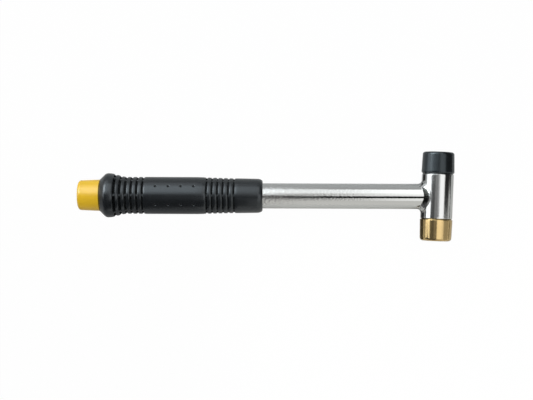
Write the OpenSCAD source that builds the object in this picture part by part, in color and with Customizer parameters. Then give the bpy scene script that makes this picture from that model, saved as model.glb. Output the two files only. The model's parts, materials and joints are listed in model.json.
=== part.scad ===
// Soft face hammer lying on its side. +X runs along the handle to the head,
// +Y along the head to the rubber face, +Z up. Millimetres.

/* [Head] */
// Diameter of the steel barrel
barrel_d = 25; // [24:0.5:32]
// Length of the steel barrel
barrel_l = 36.5; // [34:0.5:60]
// Chamfer round each end of the barrel
barrel_chamfer = 0.9; // [0.3:0.1:1.5]
// Lean of the barrel's rubber end away from the handle, in degrees
head_lean = 2; // [0:0.5:4]
// Distance from the butt to the middle of the head
handle_l = 284.6; // [240:1:360]
// Radius of the weld's hollow at the sides of the shaft
weld_r = 3; // [2:0.25:4]
// Reach of the weld along the shaft over its top and underneath
weld_top_l = 4.4; // [3:0.2:6]
// Height of the weld's lip on the barrel over the shaft
weld_lip = 1.1; // [0.4:0.1:1.6]

/* [Shaft] */
// Outer diameter of the tubular shaft
shaft_d = 20; // [18:0.5:20.5]
// Wall of the tubular shaft
shaft_wall = 2; // [1:0.25:3]

/* [Faces] */
// Length of each screw-in face
face_l = 17; // [14:0.5:26]
// Diameter of the rubber face where it meets the barrel
rubber_base_d = 26; // [25:0.2:30]
// Diameter of the rubber face just under its striking edge
rubber_end_d = 24.8; // [23:0.2:28]
// Radius of the rubber face's striking edge
rubber_edge_r = 2; // [0.5:0.25:4]
// Radius of the rubber face's edge at the barrel
rubber_base_edge_r = 1.3; // [0.4:0.1:2]
// Diameter of the brass face where it meets the barrel
brass_base_d = 25.6; // [24:0.2:30]
// Diameter of the brass face just under its striking edge
brass_end_d = 24.8; // [23:0.2:28]
// Radius of the brass face's striking edge
brass_edge_r = 2.4; // [0.5:0.1:4]
// Radius of the brass face's edge at the barrel
brass_base_edge_r = 0.5; // [0.3:0.1:2]

/* [Threaded studs] */
// Outer diameter of the thread on both faces
stud_d = 10; // [8:0.5:11]
// Length of the threaded stud
stud_l = 10; // [8:0.5:11]
// Diameter of the thread relief under the shoulder
relief_d = 8.2; // [6:0.1:8.4]
// Length of the thread relief
relief_l = 2; // [1:0.25:3]
// Running clearance of the thread on the radius
thread_clearance = 0.05; // [0.02:0.01:0.1]
// Free depth of the tapped hole past the stud
bore_spare = 1.6; // [0.5:0.1:2]
// Diameter of the insert's round neck in the rubber
insert_neck_d = 16; // [15.5:0.25:17]
// Length of the insert's round neck
insert_neck_l = 2.5; // [1.5:0.25:4]
// Distance across the flats of the insert's hexagon head
insert_head_af = 19; // [18:0.5:20]
// Thickness of the insert's hexagon head
insert_head_t = 4.5; // [3:0.25:6]

/* [Locking rings] */
// Cord diameter of the O-ring under each face
o_ring_cord_d = 1.6; // [1.2:0.1:1.8]
// Diameter of the O-ring along the middle of its cord
o_ring_mid_d = 12.8; // [12.6:0.1:13]

/* [Grip] */
// Distance from the butt to the grip's rear mouth
grip_start = 17; // [14:0.5:30]
// Length of the rubber grip
grip_l = 129; // [120:1:160]
// Diameter of the main part of the grip
grip_d = 29.4; // [28:0.2:34]
// Diameter of the flare at the grip's rear
flare_d = 35.1; // [32:0.2:42]
// Distance from the rear mouth to the top of the flare
flare_rise_l = 6.8; // [6:0.1:10]
// Distance from the top of the flare down to the main grip
flare_fall_l = 15.6; // [10:0.2:20]
// Radius of the flare's rear shoulder
flare_shoulder_r = 3.6; // [2:0.1:5]
// Diameter of the grip in front of the front grooves
neck_d = 27.6; // [26.5:0.2:28]
// Diameter of the grip where its front end starts to round
nose_d = 27.1; // [26.6:0.1:27.6]
// Length of the rounding at the front end
nose_l = 4.5; // [2:0.25:6]
// Drop of the rounding at the front end, on the radius
nose_drop = 2.2; // [1:0.1:2.6]

/* [Grip grooves] */
// Number of grooves in each of the two sets
groove_count = 6; // [3:1:6]
// Distance from the rear mouth to the first rear groove
rear_groove_at = 12.9; // [12:0.1:16]
// Spacing of the rear grooves
rear_groove_pitch = 4.46; // [3.6:0.02:5]
// Width of the first rear groove, under the flare
rear_groove_w = 1.9; // [1.8:0.1:2.2]
// Amount by which each rear groove is narrower than the last
rear_groove_narrowing = 0.16; // [0:0.02:0.18]
// Distance from the rear mouth to the first front groove
front_groove_at = 85; // [82:0.5:90]
// Spacing of the front grooves
front_groove_pitch = 4.3; // [3.6:0.05:4.6]
// Width of the front grooves
front_groove_w = 1.1; // [0.8:0.1:1.6]
// Diameter of the floor of all grooves
groove_floor_d = 25.4; // [24:0.1:26.6]
// Chamfer along both lips of a groove
groove_lip = 0.45; // [0.2:0.05:0.6]
// Width of the webs that bridge the grooves
web_w = 2.3; // [1.5:0.1:3]
// Number of webs spaced evenly round the grip, besides the two along its sides
web_count = 6; // [4:2:8]
// Depth of a web's top below the ribs
web_drop = 0.35; // [0.1:0.05:0.5]

/* [Grip dimples] */
// Number of dimples in a row
dimple_count = 4; // [2:1:4]
// Distance from the rear mouth to the first dimple
dimple_at = 45; // [42:0.5:48]
// Spacing of the dimples along a row
dimple_pitch = 10; // [6:0.5:11]
// Diameter of a dimple
dimple_d = 1.8; // [1.2:0.1:2.6]
// Depth of a dimple
dimple_depth = 0.6; // [0.3:0.05:0.8]

/* [End cap] */
// Diameter of the cap at the butt
cap_butt_d = 23.5; // [23:0.1:24.2]
// Diameter of the cap where it enters the grip
cap_mouth_d = 24.8; // [24:0.1:26]
// Radius of the cap's butt edge
cap_edge_r = 2.4; // [1:0.1:3.5]
// Length of the cap's skirt inside the grip
cap_skirt_l = 6.5; // [4:0.25:8]
// Thickness of the cap's closed end
cap_floor = 3.5; // [2.5:0.25:6]
// Length of the cap's spigot inside the shaft
spigot_l = 14; // [8:0.5:30]

/* [Hidden] */

$fn = 96;
// Sides of the two cylinders that shape the underside of the thin weld bead
fine_fn = 360;

// Sides of a hexagon, and pieces in a curved stretch of an outline
hexagon_sides = 6;
arc_steps = 10;
// Rings round the weld bead, and pieces across it
weld_rings = 72;
weld_steps = 7;
// Slopes at which the bead leaves the shaft and its own lip over the shaft
weld_toe_slope = 13;
weld_lip_slope = 16;
// Length of the curve's handles, and how far it stops short of its ends, as shares of it
weld_handle_share = 0.37;
weld_toe_share = 0.04;
// Side of the grip where the mould parts
parting_angle = 90;

// Overrun of every cut, and the gap left where pieces seat
over = 1;
seat_gap = 0.05;
// Chamfer at the end of a stud and of the spigot
stud_chamfer = 0.9;
// Angle of the drill point at the bottom of a tapped hole
drill_point = 118;

// Places along the grip where it tapers, as shares of its length
taper_start_share = 0.6;
neck_share = 0.84;

barrel_r = barrel_d / 2;
shaft_r = shaft_d / 2;
shaft_bore_r = shaft_r - shaft_wall;
stud_r = stud_d / 2;
o_ring_seat_r = (o_ring_mid_d + o_ring_cord_d) / 2 + 2 * seat_gap;
o_ring_seat_l = o_ring_cord_d + 2 * seat_gap;
cap_mouth_r = cap_mouth_d / 2;
cap_l = grip_start + cap_skirt_l;
flare_r = flare_d / 2;
flare_top = grip_start + flare_rise_l;
flare_end = flare_top + flare_fall_l;
nose_start = grip_start + grip_l - nose_l;

// Centres of the two edge rounds of a face, as [radius, distance from the barrel]
function base_round(base_d, edge_r) = [base_d / 2 - edge_r, edge_r];
function end_round(end_d, edge_r) = [end_d / 2 - edge_r, face_l - edge_r];

// How far a round at distance h from the barrel's middle reaches forwards
function reach(c, edge_r) =
    c[0] * cos(head_lean) + (barrel_l / 2 + c[1]) * sin(head_lean) + edge_r;
front_reach = max(
    reach(base_round(rubber_base_d, rubber_base_edge_r), rubber_base_edge_r),
    reach(end_round(rubber_end_d, rubber_edge_r), rubber_edge_r));

// The origin is under the middle of the whole hammer
head_x = (handle_l - front_reach) / 2;
butt_x = head_x - handle_l;
axis_z = flare_r;

function arc(c, r, from, to) =
    [for (i = [0:arc_steps]) let (a = from + (to - from) * i / arc_steps)
        c + r * [cos(a), sin(a)]];

// Outline of a face: two edge rounds joined by their common tangent
function face_outline(c1, r1, c2, r2) =
    let (d = c2 - c1, n = atan2(d[1], d[0]) - acos((r1 - r2) / norm(d)))
    concat([[0, 0]], arc(c1, r1, -90, n), arc(c2, r2, n, 90), [[0, face_l]]);

// Radius of the grip at a distance x from the butt
function grip_r(x) =
    x < flare_end
        ? grip_d / 2 + (flare_r - grip_d / 2) * (1 + cos(180 * (x - flare_top) / flare_fall_l)) / 2
        : lookup(x, [[flare_end, grip_d / 2],
                     [grip_start + taper_start_share * grip_l, grip_d / 2],
                     [grip_start + neck_share * grip_l, neck_d / 2],
                     [nose_start, nose_d / 2]]);

// Places of the grooves as [distance from the butt, width]
grooves = concat(
    [for (i = [0:groove_count - 1])
        [grip_start + rear_groove_at + i * rear_groove_pitch,
         rear_groove_w - i * rear_groove_narrowing]],
    [for (i = [0:groove_count - 1])
        [grip_start + front_groove_at + i * front_groove_pitch, front_groove_w]]);

// Frames: Z runs from the butt along the shaft, or out of one end of the barrel
module along_shaft() translate([butt_x, 0, axis_z]) rotate([0, 90, 0]) children();
module along_head(side)
    translate([head_x, 0, axis_z]) rotate([0, 0, -head_lean]) rotate([-90 * side, 0, 0]) children();
module at_barrel_end(side) along_head(side) translate([0, 0, barrel_l / 2]) children();

// Stud with its thread relief, from the shoulder at zero into the barrel
module stud() {
    rotate_extrude() polygon([
        [0, 0], [0, -stud_l], [stud_r - stud_chamfer, -stud_l], [stud_r, -stud_l + stud_chamfer],
        [stud_r, -relief_l - (stud_d - relief_d) / 2], [relief_d / 2, -relief_l], [relief_d / 2, 0]]);
}

// Tapped hole with its drill point and the seat of the O-ring, down from zero
module tapped_hole() {
    r = stud_r + thread_clearance;
    depth = stud_l + bore_spare;
    translate([0, 0, -depth]) cylinder(r = r, h = depth + over);
    translate([0, 0, -depth - r / tan(drill_point / 2)])
        cylinder(r1 = 0, r2 = r, h = r / tan(drill_point / 2));
    translate([0, 0, -o_ring_seat_l]) cylinder(r = o_ring_seat_r, h = o_ring_seat_l + over);
}

module head_barrel() {
    h = barrel_l / 2;
    c = barrel_chamfer;
    color("silver") difference() {
        along_head(1) rotate_extrude() polygon([
            [0, -h], [barrel_r - c, -h], [barrel_r, -h + c],
            [barrel_r, h - c], [barrel_r - c, h], [0, h]]);
        for (side = [-1, 1]) at_barrel_end(side) tapped_hole();
    }
}

// At the sides of the shaft a ball of radius weld_r would roll in the weld's hollow.
// Its centre for the angle t round the shaft lies weld_r off both cylinders.
function weld_centre(t) =
    let (y = (shaft_r + weld_r) * cos(t), z = (shaft_r + weld_r) * sin(t),
         u = -sqrt(pow(barrel_r + weld_r, 2) - z * z))
    [(u + y * sin(head_lean)) / cos(head_lean), y, z];

// Where the shaft's surface meets the barrel at the angle t
function shaft_end(t) =
    let (y = shaft_r * cos(t), z = shaft_r * sin(t))
    [(-sqrt(barrel_r * barrel_r - z * z) + y * sin(head_lean)) / cos(head_lean), y, z];

function shaft_out(t) = [0, cos(t), sin(t)];

// Point at the share s of a cubic curve with the handles b and c
function cubic(s, a, b, c, d) =
    pow(1 - s, 3) * a + 3 * s * pow(1 - s, 2) * b + 3 * s * s * (1 - s) * c + pow(s, 3) * d;

// The bead is a curve from a toe on the shaft to a lip on the barrel. Its heap is nothing at
// the sides and full over the top and underneath, where it reaches further along the shaft.
function weld_section(t) =
    let (heap = pow(sin(t), 2),
         out = shaft_out(t),
         c = weld_centre(t),
         d = [sin(head_lean), cos(head_lean), 0],
         foot = (c * d) * d,
         normal = (c - foot) / norm(c - foot),
         run = out - (out * normal) * normal,
         along = run / norm(run),
         toe = shaft_end(t) - [weld_r + (weld_top_l - weld_r) * heap, 0, 0],
         edge = foot + barrel_r * normal,
         lip = edge + weld_lip * heap * normal,
         handle = weld_handle_share * norm(lip - toe),
         rise = weld_toe_slope * heap,
         fall = weld_lip_slope * heap,
         leave = toe + handle * ([cos(rise), 0, 0] + sin(rise) * out),
         arrive = lip - handle * (cos(fall) * along - sin(fall) * normal))
    concat(
        [toe - over * out],
        [for (i = [0:weld_steps])
            cubic(weld_toe_share + (1 - 2 * weld_toe_share) * i / weld_steps, toe, leave, arrive, lip)],
        [edge + weld_lip * heap * along - over * normal],
        [[edge[0] + over + weld_r, 0, 0] + (shaft_r - over) * out]);

module weld_bead() {
    m = weld_steps + 4;
    points = [for (k = [0:weld_rings - 1]) each weld_section(360 * k / weld_rings)];
    faces = [for (k = [0:weld_rings - 1], i = [0:m - 1])
        let (k2 = (k + 1) % weld_rings, i2 = (i + 1) % m)
        each [[k * m + i, k * m + i2, k2 * m + i2], [k * m + i, k2 * m + i2, k2 * m + i]]];
    color("gainsboro") difference() {
        translate([head_x, 0, axis_z]) polyhedron(points, faces);
        along_shaft() cylinder(r = shaft_r, h = handle_l, $fn = fine_fn);
        along_head(1) cylinder(r = barrel_r, h = barrel_l, center = true, $fn = fine_fn);
    }
}

module shaft_tube() {
    color("lightgray") difference() {
        along_shaft() translate([0, 0, cap_floor]) difference() {
            cylinder(r = shaft_r, h = handle_l - cap_floor);
            translate([0, 0, -over]) cylinder(r = shaft_bore_r, h = handle_l);
        }
        along_head(1) cylinder(r = barrel_r, h = barrel_l, center = true);
    }
}

// Outside of the grip, and its bore with the wider seat of the cap's skirt
module grip_section() {
    bore = shaft_r + seat_gap;
    seat = cap_mouth_r + seat_gap;
    seat_end = cap_l + seat_gap;
    nose_r = nose_d / 2;
    polygon(concat(
        [[bore, seat_end], [seat, seat_end], [seat, grip_start]],
        arc([flare_r - flare_shoulder_r, flare_top], flare_shoulder_r, -45, 0),
        [for (i = [1:arc_steps]) let (x = flare_top + flare_fall_l * i / arc_steps) [grip_r(x), x]],
        [for (s = [taper_start_share, neck_share]) [grip_r(grip_start + s * grip_l), grip_start + s * grip_l]],
        [for (p = arc([0, 0], 1, 0, 90)) [nose_r - nose_drop * (1 - p[0]), nose_start + nose_l * p[1]]],
        [[bore, grip_start + grip_l]]));
}

module groove_section(x, w) {
    crest = grip_r(x);
    floor_r = groove_floor_d / 2;
    half = w / 2;
    wide = half + groove_lip + over;
    polygon([[floor_r, x - half], [floor_r, x + half], [crest - groove_lip, x + half],
             [crest + over, x + wide], [crest + over, x - wide], [crest - groove_lip, x - half]]);
}

// The part of a groove that also runs over the webs
module web_top_section(x, w) {
    intersection() {
        groove_section(x, w);
        translate([grip_r(x) - web_drop, x - rear_groove_pitch]) square(2 * rear_groove_pitch);
    }
}

module web_bars() {
    evenly = [for (i = [0:web_count / 2 - 1]) 360 * i / web_count];
    for (turn = concat(evenly, [parting_angle])) rotate([0, 0, turn])
        translate([0, 0, grip_start + grip_l / 2]) cube([flare_d, web_w, grip_l], center = true);
}

module dimples() {
    for (row = [0:web_count - 1], i = [0:dimple_count - 1])
        let (x = grip_start + dimple_at + i * dimple_pitch)
        rotate([0, 0, 360 * (row + 0.5) / web_count])
        translate([grip_r(x) - dimple_depth, 0, x])
        rotate([0, 90, 0]) cylinder(d = dimple_d, h = dimple_depth + over);
}

module grip() {
    color("dimgray") along_shaft() difference() {
        rotate_extrude() grip_section();
        rotate_extrude() for (g = grooves) web_top_section(g[0], g[1]);
        difference() {
            rotate_extrude() for (g = grooves) groove_section(g[0], g[1]);
            web_bars();
        }
        dimples();
    }
}

module end_cap() {
    inside = shaft_r + seat_gap;
    spigot_r = shaft_bore_r - seat_gap;
    tip = cap_floor + spigot_l;
    color("gold") along_shaft() rotate_extrude() polygon(concat(
        [[0, 0]],
        arc([cap_butt_d / 2 - cap_edge_r, cap_edge_r], cap_edge_r, -90, 0),
        [[cap_mouth_r, grip_start], [cap_mouth_r, cap_l], [inside, cap_l], [inside, cap_floor],
         [spigot_r, cap_floor], [spigot_r, tip - stud_chamfer], [spigot_r - stud_chamfer, tip], [0, tip]]));
}

// Steel insert: the stud, a round neck and a hexagon head that the rubber grips
module insert() {
    stud();
    cylinder(d = insert_neck_d, h = insert_neck_l);
    translate([0, 0, insert_neck_l])
        cylinder(d = insert_head_af / cos(180 / hexagon_sides), h = insert_head_t, $fn = hexagon_sides);
}

module rubber_face() {
    color("darkslategray") at_barrel_end(1) difference() {
        rotate_extrude() polygon(face_outline(
            base_round(rubber_base_d, rubber_base_edge_r), rubber_base_edge_r,
            end_round(rubber_end_d, rubber_edge_r), rubber_edge_r));
        insert();
    }
}

module rubber_face_stud() {
    color("slategray") at_barrel_end(1) insert();
}

module brass_face() {
    color("goldenrod") at_barrel_end(-1) {
        rotate_extrude() polygon(face_outline(
            base_round(brass_base_d, brass_base_edge_r), brass_base_edge_r,
            end_round(brass_end_d, brass_edge_r), brass_edge_r));
        stud();
    }
}

module o_ring() {
    translate([0, 0, -o_ring_seat_l / 2])
        rotate_extrude() translate([o_ring_mid_d / 2, 0]) circle(d = o_ring_cord_d);
}

module rubber_face_o_ring() {
    color("black") at_barrel_end(1) o_ring();
}

module brass_face_o_ring() {
    color("black") at_barrel_end(-1) o_ring();
}

head_barrel();
weld_bead();
shaft_tube();
grip();
end_cap();
rubber_face();
rubber_face_stud();
rubber_face_o_ring();
brass_face();
brass_face_o_ring();
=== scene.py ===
# Soft face hammer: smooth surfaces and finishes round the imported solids
import json
import math
import bpy
import numpy as np
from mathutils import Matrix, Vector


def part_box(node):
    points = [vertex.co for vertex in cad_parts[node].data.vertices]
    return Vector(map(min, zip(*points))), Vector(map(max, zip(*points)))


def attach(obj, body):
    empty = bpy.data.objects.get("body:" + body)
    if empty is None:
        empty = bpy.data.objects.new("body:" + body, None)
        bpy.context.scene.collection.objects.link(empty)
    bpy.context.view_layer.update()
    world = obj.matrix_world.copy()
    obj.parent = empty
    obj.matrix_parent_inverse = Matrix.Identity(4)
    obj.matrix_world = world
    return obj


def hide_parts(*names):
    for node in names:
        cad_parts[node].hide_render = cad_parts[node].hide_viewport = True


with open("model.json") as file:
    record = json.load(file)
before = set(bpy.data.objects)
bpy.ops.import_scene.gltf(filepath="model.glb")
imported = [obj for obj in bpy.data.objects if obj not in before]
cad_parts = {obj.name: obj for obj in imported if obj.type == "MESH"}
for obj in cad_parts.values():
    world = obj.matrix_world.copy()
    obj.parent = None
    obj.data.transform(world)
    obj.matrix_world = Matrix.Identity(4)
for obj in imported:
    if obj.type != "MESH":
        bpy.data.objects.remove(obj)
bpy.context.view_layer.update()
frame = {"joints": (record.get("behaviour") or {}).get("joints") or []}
print("frame loaded")

mm = 0.001
tau = 2 * math.pi
filletStep = math.radians(9)  # greatest turn between two rows round a fillet
slack = 0.01  # of comparisons that rounding could upset

# Places from the frame: the shaft's axis and the head's axis with its two ends
capBox = [np.array(corner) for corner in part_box("end_cap")]
shaftBox = [np.array(corner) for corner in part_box("shaft_tube")]
joints = {joint["name"]: joint for joint in frame["joints"]}
upward = np.array([0.0, 0.0, 1.0])
alongShaft = np.array([1.0, 0.0, 0.0])
shaftRadius = (shaftBox[1][2] - shaftBox[0][2]) / 2
butt = np.array([capBox[0][0], 0.0, (shaftBox[0][2] + shaftBox[1][2]) / 2])
outRubber = np.array(joints["rubber_face_turn"]["axis"], float)
outRubber /= np.linalg.norm(outRubber)
outBrass = -outRubber
rubberSeat = np.array(joints["rubber_face_turn"]["pos_m"], float)
brassSeat = np.array(joints["brass_face_turn"]["pos_m"], float)
headMiddle = (rubberSeat + brassSeat) / 2
barrelLength = np.linalg.norm(rubberSeat - brassSeat)


# Meshes. Every piece is a grid of points, rows along a path and columns round an axis.

def gridPiece(name, points, closedPath=False, along=None):
    # points[i, j]: row i along the path, column j round the axis; the columns always wrap.
    # An open path starts and ends on the axis, where each end row becomes one pole.
    # along is each row's place on the path, for the UV map.
    rows, columns = points.shape[:2]
    index = np.arange(rows * columns).reshape(rows, columns)
    after = np.roll(index, -1, axis=1)
    if closedPath:
        index = np.vstack([index, index[:1]])
        after = np.vstack([after, after[:1]])
    quads = np.stack([index[:-1], after[:-1], after[1:], index[1:]], axis=-1)
    if along is None:
        along = np.arange(len(quads) + 1) / len(quads)
    around = np.arange(columns + 1) / columns
    low, left = np.meshgrid(along[:-1], around[:-1], indexing="ij")
    high, right = np.meshgrid(along[1:], around[1:], indexing="ij")
    corners = ((low, left), (low, right), (high, right), (high, left))
    cornersUv = np.stack([np.stack(corner, -1) for corner in corners], axis=2)
    verts = points.reshape(-1, 3)
    if closedPath:
        loops = quads.reshape(-1)
        totals = np.full(loops.size // 4, 4)
        loopUv = cornersUv.reshape(-1, 2)
    else:
        first, last = quads[0], quads[-1]
        firstTri = np.stack([np.full(columns, 0), first[:, 2], first[:, 3]], -1)
        lastTri = np.stack([last[:, 0], last[:, 1], np.full(columns, (rows - 1) * columns)], -1)
        middle = quads[1:-1].reshape(-1)
        loops = np.concatenate([firstTri.reshape(-1), middle, lastTri.reshape(-1)])
        three = np.full(columns, 3)
        totals = np.concatenate([three, np.full(middle.size // 4, 4), three])
        loopUv = np.concatenate([cornersUv[0][:, [0, 2, 3]].reshape(-1, 2),
                                 cornersUv[1:-1].reshape(-1, 2),
                                 cornersUv[-1][:, [0, 1, 2]].reshape(-1, 2)])
        # the spare points of the two pole rows go
        used = np.unique(loops)
        renumber = np.zeros(len(verts), int)
        renumber[used] = np.arange(used.size)
        verts, loops = verts[used], renumber[loops]
    if signedVolume(verts, loops, totals) < 0:
        loops, loopUv = turnedOver(loops, loopUv, totals)
    mesh = bpy.data.meshes.new(name)
    mesh.vertices.add(len(verts))
    mesh.vertices.foreach_set("co", verts.astype(np.float32).reshape(-1))
    mesh.loops.add(len(loops))
    mesh.loops.foreach_set("vertex_index", loops.astype(np.int32))
    mesh.polygons.add(len(totals))
    mesh.polygons.foreach_set("loop_start", (np.cumsum(totals) - totals).astype(np.int32))
    mesh.polygons.foreach_set("use_smooth", np.ones(len(totals), bool))
    mesh.update(calc_edges=True)
    layer = mesh.uv_layers.new(name="path")
    layer.data.foreach_set("uv", loopUv.astype(np.float32).reshape(-1))
    piece = bpy.data.objects.new(name, mesh)
    bpy.context.scene.collection.objects.link(piece)
    return piece


def signedVolume(verts, loops, totals):
    # sum of a . (b x c) / 6 over the fan of every face, from its first corner
    starts = np.cumsum(totals) - totals
    a, b, c = (verts[loops[starts + k]] for k in range(3))
    total = np.einsum("ij,ij->i", a, np.cross(b, c)).sum()
    four = starts[totals == 4]
    a, b, c = verts[loops[four]], verts[loops[four + 2]], verts[loops[four + 3]]
    return (total + np.einsum("ij,ij->i", a, np.cross(b, c)).sum()) / 6


def turnedOver(loops, loopUv, totals):
    # every face's corners in the other order
    starts = np.repeat(np.cumsum(totals) - totals, totals)
    sizes = np.repeat(totals, totals)
    back = starts + sizes - 1 - (np.arange(len(loops)) - starts)
    return loops[back], loopUv[back]


def rounded(corners, step):
    # A path through corners (along, radius, fillet): straight runs cut at most every step,
    # and at each corner an arc of the fillet's radius that touches both runs.
    path = []
    for k, (s, r, fillet) in enumerate(corners):
        here = np.array([s, r], float)
        if fillet == 0 or k in (0, len(corners) - 1):
            path.append(here[None])
            continue
        before = np.array(corners[k - 1][:2], float) - here
        beyond = np.array(corners[k + 1][:2], float) - here
        before /= np.linalg.norm(before)
        beyond /= np.linalg.norm(beyond)
        half = math.acos(np.clip(before @ beyond, -1, 1)) / 2
        middle = here + (before + beyond) / np.linalg.norm(before + beyond) * fillet / math.sin(half)
        start = here + before * fillet / math.tan(half)
        end = here + beyond * fillet / math.tan(half)
        turn = math.pi - 2 * half
        share = np.linspace(0, 1, max(3, int(turn / filletStep) + 2))[:, None]
        arc = np.sin((1 - share) * turn) * (start - middle) + np.sin(share * turn) * (end - middle)
        path.append(middle + arc / math.sin(turn))
    path = np.concatenate(path)
    dense = [path[:1]]
    for a, b in zip(path[:-1], path[1:]):
        cuts = max(1, int(np.linalg.norm(b - a) / step))
        dense.append(a + (b - a) * np.linspace(0, 1, cuts + 1)[1:, None])
    return np.concatenate(dense)


def pathLength(path):
    steps = np.linalg.norm(np.diff(path, axis=0), axis=1)
    return np.concatenate([[0], np.cumsum(steps)])


def roundAxis(origin, axis, s, r, angle):
    # origin + s * axis + r * (cos(angle) * up + sin(angle) * side), side = axis x up
    side = np.cross(axis, upward)
    return (origin + s[..., None] * axis
            + (r * np.cos(angle))[..., None] * upward + (r * np.sin(angle))[..., None] * side)


def turnedPiece(name, origin, axis, path, columns, shape=None, closedPath=False):
    # The path, in millimetres, turned about the axis; shape(s, r, angle) may change the radius.
    angle = np.arange(columns) * tau / columns
    s, r, angle = np.broadcast_arrays(path[:, :1], path[:, 1:], angle[None, :])
    if shape is not None:
        r = shape(s, r, angle)
    along = pathLength(np.vstack([path, path[:1]]) if closedPath else path)
    return gridPiece(name, roundAxis(origin, axis, s * mm, r * mm, angle), closedPath, along)


def smoothStep(x, low, high):
    t = np.clip((x - low) / (high - low), 0, 1)
    return t * t * (3 - 2 * t)


# Nodes. An input is given by its place or its name, as a socket to join or as a value.

def addNode(tree, kind, inputs=(), **settings):
    node = tree.nodes.new("ShaderNode" + kind)
    for key, value in settings.items():
        setattr(node, key, value)
    for key, value in inputs.items() if isinstance(inputs, dict) else enumerate(inputs):
        socket = node.inputs[key]
        if isinstance(value, bpy.types.NodeSocket):
            tree.links.new(value, socket)
        else:
            socket.default_value = (*value, 1) if socket.type == "RGBA" else value
    return node


def addMath(tree, operation, *values):
    return addNode(tree, "Math", values, operation=operation).outputs[0]


def addRange(tree, value, fromMin, fromMax, toMin=0, toMax=1, interpolation="LINEAR"):
    inputs = {"Value": value, "From Min": fromMin, "From Max": fromMax, "To Min": toMin, "To Max": toMax}
    return addNode(tree, "MapRange", inputs, interpolation_type=interpolation).outputs["Result"]


def mixColors(tree, mask, under, over):
    inputs = {"Factor": mask, "A": under, "B": over}
    return addNode(tree, "Mix", inputs, data_type="RGBA").outputs["Result"]


def splitVector(tree, vector):
    return addNode(tree, "SeparateXYZ", (vector,)).outputs


# Node groups for effects that several materials share

grainSpan, driftSpan = (0.3, 0.7), (0.35, 0.65)  # where noise of 0 to 1 mostly keeps to


def newGroup(name, inputs, outputs):
    # an input is a vector if its value is a tuple, or else a number; every output is a number
    group = bpy.data.node_groups.new(name, "ShaderNodeTree")
    for label, value in inputs.items():
        kind = "NodeSocketVector" if isinstance(value, tuple) else "NodeSocketFloat"
        socket = group.interface.new_socket(label, in_out="INPUT", socket_type=kind)
        socket.default_value = value
    for label in outputs:
        group.interface.new_socket(label, in_out="OUTPUT", socket_type="NodeSocketFloat")
    return group, group.nodes.new("NodeGroupInput").outputs, group.nodes.new("NodeGroupOutput").inputs


def makeGrain():
    # noise, stretched along one direction, as a height and as a mask from 0 to 1
    group, inlet, outlet = newGroup(
        "grain", {"Vector": (0, 0, 0), "Stretch": (1, 1, 1), "Scale": 1000, "Detail": 2},
        ("Height", "Mask"))
    place = addNode(group, "VectorMath", (inlet["Vector"], inlet["Stretch"]), operation="MULTIPLY")
    noise = addNode(group, "TexNoise", {
        "Vector": place.outputs[0], "Scale": inlet["Scale"], "Detail": inlet["Detail"]}).outputs["Fac"]
    group.links.new(noise, outlet["Height"])
    group.links.new(addRange(group, noise, *grainSpan), outlet["Mask"])
    return group


def makeTurningRings():
    # fine rings at uneven spacing along a turned piece's path, from its path UV
    group, inlet, outlet = newGroup("turning rings", {"Path": (0, 0, 0), "Scale": 4}, ("Height",))
    along = splitVector(group, inlet["Path"])["X"]
    noise = addNode(group, "TexNoise", noise_dimensions="1D", inputs={
        "W": along, "Scale": inlet["Scale"], "Detail": 3})
    group.links.new(noise.outputs["Fac"], outlet["Height"])
    return group


def makeDrift():
    # a value that wanders slowly between a low and a high limit
    group, inlet, outlet = newGroup(
        "drift", {"Vector": (0, 0, 0), "Scale": 60, "Low": 0.3, "High": 0.4}, ("Value",))
    noise = addNode(group, "TexNoise", {
        "Vector": inlet["Vector"], "Scale": inlet["Scale"], "Detail": 4}).outputs["Fac"]
    value = addRange(group, noise, *driftSpan, inlet["Low"], inlet["High"])
    group.links.new(value, outlet["Value"])
    return group


def makePanel():
    # 1 inside a rectangle of the vector's X and Y, and 0 outside, with soft edges
    zero = (0, 0, 0)
    group, inlet, outlet = newGroup(
        "studio panel", {"Place": zero, "Middle": zero, "Half Size": zero, "Softness": zero}, ("Mask",))
    last = inlet["Place"]
    for operation, other in (("SUBTRACT", "Middle"), ("ABSOLUTE", None), ("SUBTRACT", "Half Size"),
                             ("DIVIDE", "Softness")):
        inputs = (last, inlet[other]) if other else (last,)
        last = addNode(group, "VectorMath", inputs, operation=operation).outputs[0]
    split = splitVector(group, last)
    sides = [addRange(group, split[side], -1, 1, 1, 0, "SMOOTHSTEP") for side in ("X", "Y")]
    group.links.new(addMath(group, "MULTIPLY", *sides), outlet["Mask"])
    return group


grainGroup, ringsGroup, driftGroup, panelGroup = makeGrain(), makeTurningRings(), makeDrift(), makePanel()


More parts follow.
